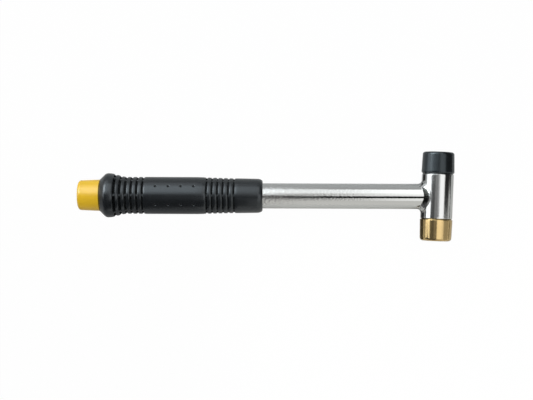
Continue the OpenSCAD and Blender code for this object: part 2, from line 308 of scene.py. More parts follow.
class Finish:
    # One material. Its values name the colour, or blotches of two colours, how the roughness
    # drifts, turning rings and grain; depths are in metres and scales per metre.

    def __init__(self, name, values):
        self.material = bpy.data.materials.new(name)
        self.material.use_nodes = True
        self.tree = self.material.node_tree
        self.shader = self.tree.nodes["Principled BSDF"]
        self.place = addNode(self.tree, "TexCoord").outputs
        self.lastBump = None
        for label, key in (("Metallic", "metallic"), ("Specular IOR Level", "specular")):
            if key in values:
                self.shader.inputs[label].default_value = values[key]
        for label, key in (("Base Color", "color"), ("Specular Tint", "specularTint")):
            if key in values:
                self.shader.inputs[label].default_value = (*values[key], 1)
        for effect in (self.roughness, self.blotches, self.rings, self.grain):
            if effect.__name__ in values:
                effect(**values[effect.__name__])

    def join(self, socket, label):
        self.tree.links.new(socket, self.shader.inputs[label])

    def group(self, tree, source="Object", **inputs):
        return addNode(self.tree, "Group", {0: self.place[source], **inputs}, node_tree=tree).outputs

    def drift(self, low, high, scale):
        return self.group(driftGroup, Scale=scale, Low=low, High=high)["Value"]

    def roughness(self, low, high, scale):
        self.join(self.drift(low, high, scale), "Roughness")

    def tint(self, mask, dark, light):
        # base colour between dark and light by a mask
        self.join(mixColors(self.tree, mask, dark, light), "Base Color")

    def blotches(self, scale, detail, dark, light):
        self.tint(self.group(grainGroup, Scale=scale, Detail=detail)["Mask"], dark, light)

    def bump(self, height, depth, strength=1.0):
        # bumps add up, each one on the last one's normal
        inputs = {"Height": height, "Distance": depth, "Strength": strength}
        if self.lastBump is not None:
            inputs["Normal"] = self.lastBump
        self.lastBump = addNode(self.tree, "Bump", inputs).outputs["Normal"]
        self.join(self.lastBump, "Normal")

    def rings(self, scale, depth):
        self.bump(self.group(ringsGroup, "UV", Scale=scale)["Height"], depth)

    def grain(self, scale, detail, depth, stretch=(1, 1, 1), strength=1.0):
        # a bump of noise, which also gives the mask of the same noise
        noise = self.group(grainGroup, Stretch=stretch, Scale=scale, Detail=detail)
        self.bump(noise["Height"], depth, strength)
        return noise["Mask"]


def dress(piece, finish, body, slotName, *nodes):
    piece.data.materials.append(finish.material)
    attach(piece, body)
    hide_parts(*nodes)


chromeColor = (0.52, 0.525, 0.52)


# Barrel of the head, in millimetres from the head's middle towards the rubber face
barrelPiece = {
    "radius": 12.5, "endChamfer": 0.9, "edgeRound": 0.35, "ringSeatRadius": 7.3, "ringSeatDepth": 1.7,
    "mouthRound": 0.1, "seatRound": 0.2, "boreRadius": 5.05, "boreDepth": 11.6, "drillPoint": 118,
    "rowStep": 0.5, "columns": 256,
    "finish": {
        "color": chromeColor, "metallic": 1.0, "roughness": {"low": 0.05, "high": 0.1, "scale": 120},
        "rings": {"scale": 3.0, "depth": 4e-6}, "grain": {"scale": 1300, "detail": 3, "depth": 4.5e-5}},
}


def makeBarrel(p):
    # half the outline from the bore's bottom to the outside, then its mirror image
    h = barrelLength / mm / 2
    bottom, seat = h - p["boreDepth"], h - p["ringSeatDepth"]
    tip = bottom - p["boreRadius"] / math.tan(math.radians(p["drillPoint"] / 2))
    c, e = p["endChamfer"], p["edgeRound"]
    half = [(tip, 0, 0), (bottom, p["boreRadius"], 0),
            (seat, p["boreRadius"], p["seatRound"]), (seat, p["ringSeatRadius"], 0),
            (h, p["ringSeatRadius"], p["mouthRound"]), (h, p["radius"] - c, e), (h - c, p["radius"], e)]
    other = [(-s, r, fillet) for s, r, fillet in reversed(half)]
    path = rounded(half + other, p["rowStep"])
    piece = turnedPiece("barrel", headMiddle, outRubber, path, p["columns"])
    dress(piece, Finish("head chrome", p["finish"]), "handle", "chrome", "head_barrel")


def barrelCrossing(y, z, radius):
    # X from the head's middle at which a line along the shaft, at y and z off its axis, meets
    # a cylinder of this radius round the head's axis
    return (-np.sqrt(radius ** 2 - z ** 2) + y * outRubber[0]) / outRubber[1]


# Shaft, in millimetres. Orange peel fades between two places in metres along X.
shaftPiece = {
    "bore": 8.0, "start": 3.5, "sink": 0.02, "rows": 150, "columns": 224,
    "peelStart": -0.004, "peelEnd": 0.085, "peelNearGrip": 1.0, "peelNearHead": 0.12,
    "peel": {"scale": 950, "detail": 3, "depth": 1.55e-4, "stretch": (0.6, 1, 1)},
    "finish": {
        "color": chromeColor, "metallic": 1.0, "roughness": {"low": 0.03, "high": 0.06, "scale": 90}},
}


def makeShaftChrome(p):
    finish = Finish("shaft chrome", p["finish"])
    x = splitVector(finish.tree, finish.place["Object"])["X"]
    fade = addRange(finish.tree, x, p["peelStart"], p["peelEnd"], p["peelNearGrip"], p["peelNearHead"])
    finish.grain(strength=fade, **p["peel"])
    return finish


def makeShaft(p):
    # outside from the cap to the coped end, which sinks into the barrel, then back along the bore
    angle = np.arange(p["columns"])[None, :] * tau / p["columns"]
    share = np.linspace(0, 1, p["rows"])[:, None]
    start = p["start"] * mm
    surfaces = []
    for r, run in ((shaftRadius, share), (p["bore"] * mm, share[::-1])):
        end = headMiddle[0] - butt[0] + barrelCrossing(
            -r * np.sin(angle), r * np.cos(angle), (barrelPiece["radius"] - p["sink"]) * mm)
        s = start + (end - start) * run
        surfaces.append(roundAxis(butt, alongShaft, s, np.full_like(s, r), np.broadcast_to(angle, s.shape)))
    piece = gridPiece("shaft", np.concatenate(surfaces), closedPath=True)
    dress(piece, makeShaftChrome(p), "handle", "chrome", "shaft_tube")


# Weld bead, in millimetres: how far it reaches along the shaft at its sides and over its top,
# how high it stands on the barrel at the top, and the ball that would roll in its hollow sides
weldPiece = {
    "ball": 3.0, "sideReach": 3.0, "topReach": 4.4, "lip": 1.1, "shaftSlope": 13, "lipSlope": 16,
    "handleShare": 0.36, "lipRound": 0.3, "lipSteps": 5, "sink": 0.3, "steps": 26, "columns": 320,
    # waves left by the weld pool: height, waves round the shaft, turn across the bead, and the
    # sway of a wave: how far, how often round the shaft, and where it starts
    "waveDepth": 0.04, "waveFade": 0.8,
    "waves": ((1.0, 34, 0, 1.4, 3, 0), (0.6, 21, 18, 0, 0, 0), (0.5, 57, 0, 2, 5, 1)),
    # painted dark reflection over the hollow, in metres: middle and half width in Y, start and end in X from
    # the head's middle
    "paintedReflectionColor": (0.03, 0.031, 0.028), "darkMiddle": 0.0004, "darkHalf": 0.0068, "darkFade": 0.0016,
    "darkRagged": 0.003, "darkStart": -0.0131, "darkEnd": -0.0085, "darkBend": 40, "darkRun": 0.0006,
    "pits": {"scale": 900, "detail": 3, "depth": 1.5e-4, "stretch": (1, 0.5, 0.5)},
    "finish": {
        "metallic": 1.0, "roughness": {"low": 0.1, "high": 0.2, "scale": 150},
        "grain": {"scale": 420, "detail": 1, "depth": 4e-5}},
}


def makeWeldChrome(p):
    # soft waves and pits, and a painted dark reflection in the hollow over the shaft
    finish = Finish("weld chrome", p["finish"])
    tree = finish.tree
    pits = finish.grain(**p["pits"])
    place = splitVector(tree, finish.place["Object"])
    y = addMath(tree, "ADD", place["Y"], -p["darkMiddle"])
    aside = addMath(tree, "MULTIPLY_ADD", pits, p["darkRagged"], addMath(tree, "ABSOLUTE", y))
    light = addRange(tree, aside, p["darkHalf"], p["darkHalf"] + p["darkFade"])
    # X plus a share of Y squared, so that the painted dark reflection ends in a curve before the lip
    bent = addMath(tree, "MULTIPLY_ADD", addMath(tree, "MULTIPLY", y, y), p["darkBend"], place["X"])
    for edge, x, first in (("darkStart", place["X"], 1), ("darkEnd", bent, 0)):
        limit = headMiddle[0] + p[edge]
        beyond = addRange(tree, x, limit, limit + p["darkRun"], first, 1 - first)
        light = addMath(tree, "MAXIMUM", beyond, light)
    # painted reflection: dark base colour over the hollow, chrome colour elsewhere
    finish.tint(light, p["paintedReflectionColor"], chromeColor)
    return finish


def makeWeld(p):
    # For each angle t round the shaft a curve runs from the shaft to the barrel: a cubic with its
    # handles along the shaft and along the barrel, turned up by two slopes that are full over the
    # top and underneath and nothing at the sides; then a rounded lip drops to the barrel.
    ball, shaft, barrel = p["ball"] * mm, shaftRadius, barrelPiece["radius"] * mm
    t = np.arange(p["columns"]) * tau / p["columns"]
    top = np.cos(t)[:, None] ** 2
    out = np.stack([np.zeros_like(t), np.sin(t), np.cos(t)], -1)

    def onBarrel(fromShaft, fromHead):
        # the point at angle t that lies these distances off the shaft's and the head's axes
        y, z = fromShaft * out[:, 1], fromShaft * out[:, 2]
        return np.stack([barrelCrossing(y, z, fromHead), y, z], -1)

    def normalised(v):
        return v / np.linalg.norm(v, axis=-1, keepdims=True)

    reach = (p["sideReach"] + (p["topReach"] - p["sideReach"]) * top) * mm
    start = onBarrel(shaft, barrel) - reach * alongShaft
    centre = onBarrel(shaft + ball, barrel + ball)
    foot = (centre @ outRubber)[:, None] * outRubber
    barrelNormal = normalised(centre - foot)
    end = foot + barrel * barrelNormal
    alongBarrel = normalised(out - np.sum(out * barrelNormal, axis=1)[:, None] * barrelNormal)
    lip = end + p["lip"] * mm * top * barrelNormal
    handle = p["handleShare"] * np.linalg.norm(lip - start, axis=1)[:, None]
    slopeUp = np.radians(p["shaftSlope"]) * top
    slopeDown = np.radians(p["lipSlope"]) * top
    first = start + handle * (np.cos(slopeUp) * alongShaft + np.sin(slopeUp) * out)
    second = lip - handle * (np.cos(slopeDown) * alongBarrel - np.sin(slopeDown) * barrelNormal)
    u = np.linspace(0, 1, p["steps"])[:, None, None]
    curve = (1 - u) ** 3 * start + 3 * u * (1 - u) ** 2 * first + 3 * u ** 2 * (1 - u) * second + u ** 3 * lip
    # the waves fade out at both edges
    t = t[None, :, None]
    wave = sum(height * np.sin(around * t + across * u + sway * np.sin(often * t + begin))
               for height, around, across, sway, often, begin in p["waves"])
    curve = curve + (p["waveDepth"] * mm * wave * np.sin(np.pi * u) ** p["waveFade"]
                     * normalised(out + barrelNormal))
    turn = np.linspace(0, np.pi / 2, p["lipSteps"] + 1)[1:, None, None]
    over = p["lipRound"] * (lip - end)
    overhang = p["lipRound"] * p["lip"] * mm * top * alongBarrel
    edge = lip - over + over * np.cos(turn) + overhang * np.sin(turn)
    sink = p["sink"] * mm
    under = np.stack([end + overhang - sink * barrelNormal,
                      onBarrel(shaft, barrel) - 2 * sink * (out - alongShaft), start - sink * out])
    piece = gridPiece("weld", headMiddle + np.concatenate([curve, edge, under]), closedPath=True)
    dress(piece, makeWeldChrome(p), "handle", "chrome_weld", "weld_bead")


# Threaded studs, in millimetres outwards from the barrel's end
studPiece = {
    "radius": 5.0, "length": 10.0, "pitch": 1.5, "threadDepth": 0.92, "rootFlat": 0.12, "flankRun": 0.63,
    "reliefRadius": 4.1, "reliefLength": 2.0, "reliefRound": 0.15, "tipChamfer": 0.9,
    "rowsPerPitch": 14, "columns": 96,
}


def studPath(p, others):
    # from the tip's middle over the stud to the shoulder, then through the other corners
    r, c, relief, fillet = p["radius"], p["tipChamfer"], p["reliefRadius"], p["reliefRound"]
    corners = [(-p["length"], 0, 0), (-p["length"], r - c, 0), (-p["length"] + c, r, 0),
               (-p["reliefLength"] - r + relief, r, 0), (-p["reliefLength"], relief, fillet),
               (0, relief, fillet)]
    return rounded(corners + others, p["pitch"] / p["rowsPerPitch"])


def threaded(p, s, r, angle):
    # a right-hand thread between the tip and the relief: a flat-topped wave of s - pitch * turns
    wave = (s / p["pitch"] - angle / tau) % 1
    tooth = np.clip((1 - np.abs(2 * wave - 1) - p["rootFlat"]) / p["flankRun"], 0, 1)
    crest = p["radius"] - p["threadDepth"] * (1 - tooth)
    return np.where(s < -p["reliefLength"], np.minimum(r, crest), r)


# Rubber face, in millimetres outwards from the barrel's end, with a pocket for the insert
rubberPiece = {
    "length": 17.0, "baseRadius": 13.0, "endRadius": 12.4, "edge": 2.0, "baseEdge": 1.3,
    "neckRadius": 8.0, "neckLength": 2.5, "pocketRadius": 11.05, "pocketLength": 4.6,
    "mouthRound": 0.15, "neckRound": 0.1, "pocketRound": 0.2, "rowStep": 0.45, "columns": 256,
    "finish": {
        "specularTint": (0.86, 1.0, 1.08), "roughness": {"low": 0.2, "high": 0.25, "scale": 110},
        "blotches": {"scale": 160, "detail": 5, "dark": (0.005, 0.006, 0.0072),
                     "light": (0.008, 0.0095, 0.011)},
        "grain": {"scale": 2200, "detail": 2, "depth": 1e-5}},
}


def makeRubberFace(p):
    # from the striking face's middle over the edge and side to the base, then the pocket
    neck, pocket = p["neckLength"], p["neckLength"] + p["pocketLength"]
    path = rounded([
        (p["length"], 0, 0), (p["length"], p["endRadius"], p["edge"]), (0, p["baseRadius"], p["baseEdge"]),
        (0, p["neckRadius"], p["mouthRound"]), (neck, p["neckRadius"], p["neckRound"]),
        (neck, p["pocketRadius"], p["pocketRound"]), (pocket, p["pocketRadius"], p["pocketRound"]),
        (pocket, 0, 0)], p["rowStep"])
    piece = turnedPiece("rubberFace", rubberSeat, outRubber, path, p["columns"])
    dress(piece, Finish("face rubber", p["finish"]), "rubber_face_tip", "face_rubber", "rubber_face")


# Steel insert moulded into the rubber face, with its stud
insertPiece = {
    "neckRadius": 7.98, "neckLength": 2.5, "neckRound": 0.2, "flats": 19.0, "headLength": 4.5,
    "finish": {
        "color": (0.52, 0.53, 0.5), "metallic": 1.0, "roughness": {"low": 0.25, "high": 0.4, "scale": 200},
        "rings": {"scale": 6.0, "depth": 8e-6}},
}


def makeInsert(p):
    sixth = math.pi / 3
    neck, headEnd = p["neckLength"], p["neckLength"] + p["headLength"]
    corner = p["flats"] / 2 / math.cos(sixth / 2)
    path = studPath(studPiece, [
        (0, p["neckRadius"], p["neckRound"]), (neck, p["neckRadius"], 0), (neck, corner, 0),
        (headEnd, corner, 0), (headEnd, 0, 0)])

    def shape(s, r, angle):
        # hexagon: flats / 2 over the cosine of the angle from the nearest flat's middle
        hexagon = p["flats"] / 2 / np.cos((angle + sixth / 2) % sixth - sixth / 2)
        inHead = s > neck - slack
        return threaded(studPiece, s, np.where(inHead, np.minimum(r, hexagon), r), angle)

    piece = turnedPiece("rubberFaceInsert", rubberSeat, outRubber, path, studPiece["columns"], shape)
    dress(piece, Finish("zinc plated steel", p["finish"]), "rubber_face_tip", "plain_steel",
          "rubber_face_stud")


# Brass face with its own stud, in millimetres outwards from the barrel's other end
brassPiece = {
    "length": 17.0, "baseRadius": 12.8, "endRadius": 12.4, "edge": 2.4, "baseEdge": 0.5,
    "rowStep": 0.45, "columns": 256,
    "finish": {
        "metallic": 0.93, "roughness": {"low": 0.12, "high": 0.18, "scale": 160},
        "blotches": {"scale": 140, "detail": 4, "dark": (0.4545, 0.3294, 0.153),
                     "light": (0.505, 0.366, 0.17)},
        "rings": {"scale": 5.0, "depth": 9e-6}, "grain": {"scale": 1100, "detail": 2, "depth": 6e-6}},
}


def makeBrassFace(p):
    # fine rows on the stud, coarse ones from a point on the shoulder over the face
    meet = (0, (studPiece["reliefRadius"] + p["baseRadius"]) / 2, 0)
    face = rounded([meet, (0, p["baseRadius"], p["baseEdge"]), (p["length"], p["endRadius"], p["edge"]),
                    (p["length"], 0, 0)], p["rowStep"])
    path = np.concatenate([studPath(studPiece, [meet]), face[1:]])

    def shape(s, r, angle):
        return threaded(studPiece, s, r, angle)

    piece = turnedPiece("brassFace", brassSeat, outBrass, path, p["columns"], shape)
    dress(piece, Finish("turned brass", p["finish"]), "brass_face_tip", "brass", "brass_face")


# O-rings, in millimetres
ringPiece = {
    "cord": 1.6, "middle": 12.8, "seat": 1.7, "around": 20, "columns": 96,
    "finish": {
        "color": (0.01, 0.01, 0.011), "specular": 0.4, "roughness": {"low": 0.3, "high": 0.38, "scale": 200},
        "grain": {"scale": 3000, "detail": 1, "depth": 4e-6}},
}


def makeLockingRings(p):
    turn = np.arange(p["around"]) * tau / p["around"]
    path = np.stack([-p["seat"] / 2 + p["cord"] / 2 * np.cos(turn),
                     p["middle"] / 2 + p["cord"] / 2 * np.sin(turn)], -1)
    finish = Finish("ring rubber", p["finish"])
    for name, seat, out, body, node in (
            ("rubberFaceRing", rubberSeat, outRubber, "rubber_face_ring", "rubber_face_o_ring"),
            ("brassFaceRing", brassSeat, outBrass, "brass_face_ring", "brass_face_o_ring")):
        piece = turnedPiece(name, seat, out, path, p["columns"], closedPath=True)
        dress(piece, finish, body, "o_ring_rubber", node)


# Grip, in millimetres from the butt
gripPiece = {
    "start": 17.0, "length": 129.0, "radius": 14.7, "flareRadius": 17.55, "flareRise": 6.8,
    "flareFall": 15.6, "shoulder": 4.0, "neckRadius": 13.8, "noseRadius": 13.55, "noseLength": 4.5,
    "noseDrop": 2.2, "taperStart": 0.6, "neckAt": 0.84,
    "bore": 10.05, "mouthRadius": 12.45, "seatEnd": 23.55, "boreChamfer": 0.3, "seatRound": 0.1,
    "mouthLand": 0.2,
    "grooves": 6, "rearGroove": 12.63, "rearPitch": 4.41, "rearWidth": 2.15, "rearNarrowing": 0.13,
    "frontGroove": 84.9, "frontPitch": 4.3, "frontWidth": 1.25, "floorRadius": 12.2, "lip": 0.22,
    "wallInner": 0.1, "wallOuter": 0.02, "swell": 0.62,
    "webs": 6, "webWidth": 1.75, "webDrop": 0.35, "webInner": 0.1, "webOuter": 0.4,
    "dimples": 4, "dimpleAt": 45.0, "dimplePitch": 10.0, "dimpleRadius": 0.95, "dimpleDepth": 0.8,
    "dimpleFloor": 0.62, "dimpleRim": 1.08,
    # spacing of rows: off a groove's wall, off its lip in shares of the lip, over the dimples,
    # at the shoulder and nose, and elsewhere; rows nearer than rowLeast become one
    "wallRows": (0.11, 0.04, -0.03), "lipRows": (0.3, 0.6, 0.95, 1.4), "dimpleRows": 10,
    "dimpleSpan": 1.15, "endRows": 14, "shoulderSpan": 0.8, "rowStep": 1.5, "rowLeast": 0.03,
    "boreStep": 6,
    # spacing of columns: shares of a web's half width, then of the edge beside it
    "webColumns": (0, 0.5, 0.8), "webEdge": 0.45, "edgeColumns": (-0.3, 0, 0.25, 0.5, 0.8, 1.1),
    "plainColumns": 6, "plainFromEdge": 1.6, "plainFromDimple": 1.5,
    # satin rubber; the grooves and dimples are matt inside, with painted shade that makes them black
    "satin": {"low": 0.21, "high": 0.26, "scale": 70}, "matt": 0.9, "hollowFrom": 0.2, "hollowTo": 0.9,
    "color": (0.0078, 0.009, 0.0105), "hollowShadeColor": (0.0005, 0.0005, 0.0005),
    "finish": {
        "specularTint": (0.92, 0.99, 1.04), "grain": {"scale": 2600, "detail": 2, "depth": 8e-6}},
}


def makeGripRubber(p):
    finish = Finish("grip rubber", p["finish"])
    hollow = addNode(finish.tree, "Attribute", attribute_name="hollow").outputs["Fac"]
    inputs = {"Factor": hollow, "A": finish.drift(**p["satin"]), "B": p["matt"]}
    finish.join(addNode(finish.tree, "Mix", inputs).outputs["Result"], "Roughness")
    # painted shade: the base colour goes black deep in the grooves and dimples
    finish.tint(hollow, p["color"], p["hollowShadeColor"])
    return finish


def gripCrest(p, s):
    # outer radius without grooves: shoulder arc, cosine fall, slow taper and an elliptic nose
    top = p["start"] + p["flareRise"]
    fallEnd = top + p["flareFall"]
    noseStart = p["start"] + p["length"] - p["noseLength"]
    body = np.interp(s, [fallEnd, p["start"] + p["taperStart"] * p["length"],
                         p["start"] + p["neckAt"] * p["length"], noseStart],
                     [p["radius"], p["radius"], p["neckRadius"], p["noseRadius"]])
    fall = p["radius"] + (p["flareRadius"] - p["radius"]) * (
        1 + np.cos(np.pi * np.clip((s - top) / p["flareFall"], 0, 1))) / 2
    drop = np.clip((s - noseStart) / p["noseLength"], 0, 1)
    nose = p["noseRadius"] - p["noseDrop"] * (1 - np.sqrt(1 - drop ** 2))
    a = p["shoulder"]
    eighth = a / math.sqrt(2)
    arcStart = top - eighth
    arc = p["flareRadius"] - a + np.sqrt(a * a - np.clip(top - s, 0, eighth) ** 2)
    cone = np.interp(s, [p["start"], arcStart], [p["mouthRadius"], p["flareRadius"] - a + eighth])
    crest = np.where(s > fallEnd, body, fall)
    crest = np.where(s > noseStart, nose, crest)
    return np.where(s < arcStart, cone, np.where(s < top, arc, crest))


def grooveList(p):
    # middle and width of every groove
    places = range(p["grooves"])
    rear = [(p["start"] + p["rearGroove"] + k * p["rearPitch"], p["rearWidth"] - k * p["rearNarrowing"])
            for k in places]
    return rear + [(p["start"] + p["frontGroove"] + k * p["frontPitch"], p["frontWidth"]) for k in places]


def dimpleList(p):
    return [p["start"] + p["dimpleAt"] + k * p["dimplePitch"] for k in range(p["dimples"])]


def ribDrop(p, s):
    # how far the surface dips beside the grooves, so that each rib between two of them is a low arch
    drop = np.zeros_like(s)
    for first, pitch in (("rearGroove", "rearPitch"), ("frontGroove", "frontPitch")):
        along = (s - p["start"] - p[first]) / p[pitch]
        between = (along > -0.5) & (along < p["grooves"] - 0.5)
        arch = (2 * np.abs(along - np.round(along - 0.5) - 0.5)) ** 2
        drop = np.where(between, p["swell"] * arch, drop)
    return drop


def gripRows(p):
    rows = [np.arange(p["start"], p["start"] + p["length"], p["rowStep"])]
    for middle, width in grooveList(p):
        half = width / 2
        reach = np.concatenate([[0], half - np.array(p["wallRows"]),
                                half + p["lip"] * np.array(p["lipRows"])])
        rows += [middle - reach, middle + reach]
    across = p["dimpleRadius"] * np.linspace(-p["dimpleSpan"], p["dimpleSpan"], p["dimpleRows"])
    rows += [middle + across for middle in dimpleList(p)]
    turn = np.linspace(0, 1, p["endRows"]) * np.pi / 2
    rows.append(p["start"] + p["length"] - p["noseLength"] * (1 - np.sin(turn)))
    top = p["start"] + p["flareRise"]
    rows.append(np.linspace(top - p["shoulder"] * p["shoulderSpan"], top, p["endRows"]))
    rows = np.unique(np.round(np.concatenate(rows), 3))
    return rows[np.concatenate([[True], np.diff(rows) > p["rowLeast"]])]


def gripColumns(p):
    # close together at the webs' sides and over the dimples, which lie midway between two webs
    radius = p["radius"]
    half, edge, dimple = p["webWidth"] / 2 / radius, p["webEdge"] / radius, p["dimpleRadius"] / radius
    spots = np.concatenate([half * np.array(p["webColumns"]), half + edge * np.array(p["edgeColumns"])])
    across = dimple * np.linspace(-p["dimpleSpan"], p["dimpleSpan"], p["dimpleRows"])
    plain, fromEdge, fromDimple = p["plainColumns"], p["plainFromEdge"] * edge, p["plainFromDimple"] * dimple
    turns = []
    for k in range(p["webs"]):
        web = k * tau / p["webs"]
        nextWeb = web + tau / p["webs"]
        between = web + tau / p["webs"] / 2
        alongSide = abs(math.cos(between)) < slack
        for middle in (web, between) if alongSide else (web,):
            turns += [middle - spots, middle + spots]
        turns += [between + across, np.linspace(web + half + fromEdge, between - fromDimple, plain),
                  np.linspace(between + fromDimple, nextWeb - half - fromEdge, plain)]
    return np.unique(np.round(np.concatenate(turns) % tau, 5))


def gripRadius(p, s, angle):
    # crest, less the grooves (shallow over the webs, two of them along the sides) and the dimples
    crest = gripCrest(p, s) - ribDrop(p, s)
    spacing = tau / p["webs"]
    fromWeb = np.abs((angle + spacing / 2) % spacing - spacing / 2)
    fromWeb = np.minimum(fromWeb, np.abs(angle % np.pi - np.pi / 2)) * crest
    webHalf = p["webWidth"] / 2
    web = 1 - smoothStep(fromWeb, webHalf - p["webInner"], webHalf + p["webOuter"])
    full = crest - p["floorRadius"]
    depth = full + (np.minimum(p["webDrop"], full) - full) * web
    cut = np.zeros_like(crest)
    for middle, width in grooveList(p):
        off = np.abs(s - middle) - width / 2
        lipRun = np.clip(off / p["lip"], 0, 1)
        lipDepth = np.minimum(depth, p["lip"] * (1 - np.sqrt(1 - (1 - lipRun) ** 2)))
        wall = 1 - smoothStep(off, -p["wallInner"], p["wallOuter"])
        cut = np.where(off < p["lip"], np.maximum(cut, lipDepth + (depth - lipDepth) * wall), cut)
    across = (angle % spacing - spacing / 2) * crest
    for middle in dimpleList(p):
        away = np.hypot(s - middle, across) / p["dimpleRadius"]
        cut = np.maximum(cut, p["dimpleDepth"] * (1 - smoothStep(away, p["dimpleFloor"], p["dimpleRim"])))
    return crest - cut


def makeGrip(p):
    s = gripRows(p)
    angle = gripColumns(p)[None, :]
    outerS = np.broadcast_to(s[:, None], (s.size, angle.size))
    outerR = gripRadius(p, outerS, np.broadcast_to(angle, outerS.shape))
    end, bore, chamfer = p["start"] + p["length"], p["bore"], p["boreChamfer"]
    inside = rounded([
        (end, bore + chamfer, 0), (end - chamfer, bore, 0), (p["seatEnd"], bore, p["seatRound"]),
        (p["seatEnd"], p["mouthRadius"], 0), (p["start"] + p["mouthLand"], p["mouthRadius"], 0)],
        p["boreStep"])
    innerS, innerR = (np.broadcast_to(inside[:, [k]], (len(inside), angle.size)) for k in (0, 1))
    allS, allR = np.concatenate([outerS, innerS]), np.concatenate([outerR, innerR])
    points = roundAxis(butt, alongShaft, allS * mm, allR * mm, np.broadcast_to(angle, allS.shape))
    piece = gridPiece("gripSleeve", points, closedPath=True)
    # how deep each point lies, for the matt roughness and the painted shade in the finish
    depth = gripCrest(p, outerS) - ribDrop(p, outerS) - outerR
    hollow = np.concatenate([smoothStep(depth, p["hollowFrom"], p["hollowTo"]), np.zeros(innerS.shape)])
    layer = piece.data.attributes.new("hollow", "FLOAT", "POINT")
    layer.data.foreach_set("value", hollow.astype(np.float32).reshape(-1))
    dress(piece, makeGripRubber(p), "handle", "grip_rubber", "grip")
    print("grip rows", s.size, "columns", angle.size)


# End cap, in millimetres from the butt
capPiece = {
    "buttRadius": 11.75, "mouthRadius": 12.4, "edge": 2.4, "length": 23.5, "skirtRound": 0.2,
    "floor": 3.5, "inside": 10.05, "spigot": 7.95, "spigotLength": 14.0, "spigotRound": 0.8,
    "rowStep": 0.5, "columns": 192,
    "finish": {
        "specular": 0.6, "roughness": {"low": 0.28, "high": 0.35, "scale": 80},
        "blotches": {"scale": 70, "detail": 3, "dark": (0.76, 0.462, 0.011), "light": (0.79, 0.485, 0.014)},
        "grain": {"scale": 1800, "detail": 2, "depth": 8e-6}},
}


def makeCap(p):
    tip = p["floor"] + p["spigotLength"]
    path = rounded([
        (0, 0, 0), (0, p["buttRadius"], p["edge"]), (gripPiece["start"], p["mouthRadius"], 0),
        (p["length"], p["mouthRadius"], p["skirtRound"]), (p["length"], p["inside"], 0),
        (p["floor"], p["inside"], 0), (p["floor"], p["spigot"], 0), (tip, p["spigot"], p["spigotRound"]),
        (tip, 0, 0)], p["rowStep"])
    piece = turnedPiece("endCap", butt, alongShaft, path, p["columns"])
    dress(piece, Finish("yellow plastic", p["finish"]), "handle", "yellow_plastic", "end_cap")


makeBarrel(barrelPiece)
makeShaft(shaftPiece)
makeWeld(weldPiece)
makeRubberFace(rubberPiece)
makeInsert(insertPiece)
makeBrassFace(brassPiece)
makeLockingRings(ringPiece)
makeGrip(gripPiece)
makeCap(capPiece)
print("pieces made")

# Camera straight above the hammer. Pixels are those of a frame 533 wide and 400 high.
view = {
    "frameWidth": 533, "focalPixels": 1070, "sensorWidth": 36, "height": 0.85, "x": 0.0, "y": -0.0033,
    "roll": 0.21,
}

# Studio: a pale floor, one lamp, and softboxes and walls drawn in the world by direction.
# Directions are in degrees: tilt towards +X, then turn about X from straight up towards +Y.
# The floor's colour is darker to the left and on the far side: painted shade, seen in reflections
floorStage = {
    "size": 12.0, "leftColor": (0.45, 0.45, 0.45), "rightColor": (0.84, 0.83, 0.8), "rightFrom": -0.025,
    "farColor": (0.6, 0.61, 0.61), "farFrom": 0.0, "softness": 0.05,
    "cameraWhite": 0.985, "glossyWhite": 0.04,
}
keyLamp = {
    "radiance": 0.4, "color": (0.94, 1.0, 1.05), "turn": 45.0, "distance": 1.4, "x": 0.2, "width": 0.9,
    "length": 2.2,
}
walls = (0.93, 0.92, 0.88)
panels = {
    # name: (colour, middle, half size, softness of the edges), painted in this order
    "rightWall": ((0.55, 0.55, 0.53), (100, 0), (58, 200), (10, 5)),
    "farWall": ((0.59, 0.6, 0.6), (0, 120), (200, 56), (3, 3)),
    "ceiling": ((0.18, 0.18, 0.18), (-40, -45), (25, 65), (4, 5)),
    "frontDark": ((0.1, 0.1, 0.105), (-43, -60), (40, 50), (2.5, 10)),
    "frontShade": ((0.2, 0.2, 0.2), (-30, -9), (34, 27), (4, 18)),
    "ceilingGlow": ((0.5, 0.5, 0.5), (-40, 12), (34, 8), (5, 8)),
    "keyBox": ((1.0, 1.01, 1.0), (-8, 40), (54, 22.5), (4, 2.5)),
    "keyLeft": ((2.7, 2.8, 2.85), (-42, 38), (19, 22), (5, 4)),
    "keyRight": ((1.8, 1.8, 1.78), (13, 36), (7.5, 26.5), (3, 3)),
    "keyShade": ((0.35, 0.36, 0.36), (42, 36), (21, 26.5), (3, 3)),
    "backBox": ((1.6, 1.65, 1.7), (-31, 71), (30, 13), (3, 5)),
    "topShade": ((0.4, 0.4, 0.4), (-3, -2), (14, 10), (9, 4)),
    "frontBox": ((1.45, 1.45, 1.42), (26, -28), (20, 14), (2.5, 4)),
    "topBox": ((1.7, 1.7, 1.7), (24.5, -2), (20.5, 12), (9, 3)),
    "beam": ((0.02, 0.02, 0.02), (4.8, -9.4), (6.2, 8.9), (1.2, 0.6)),
    "leftBox": ((2.2, 2.25, 2.3), (-100, 46), (48, 66), (5, 6)),
}
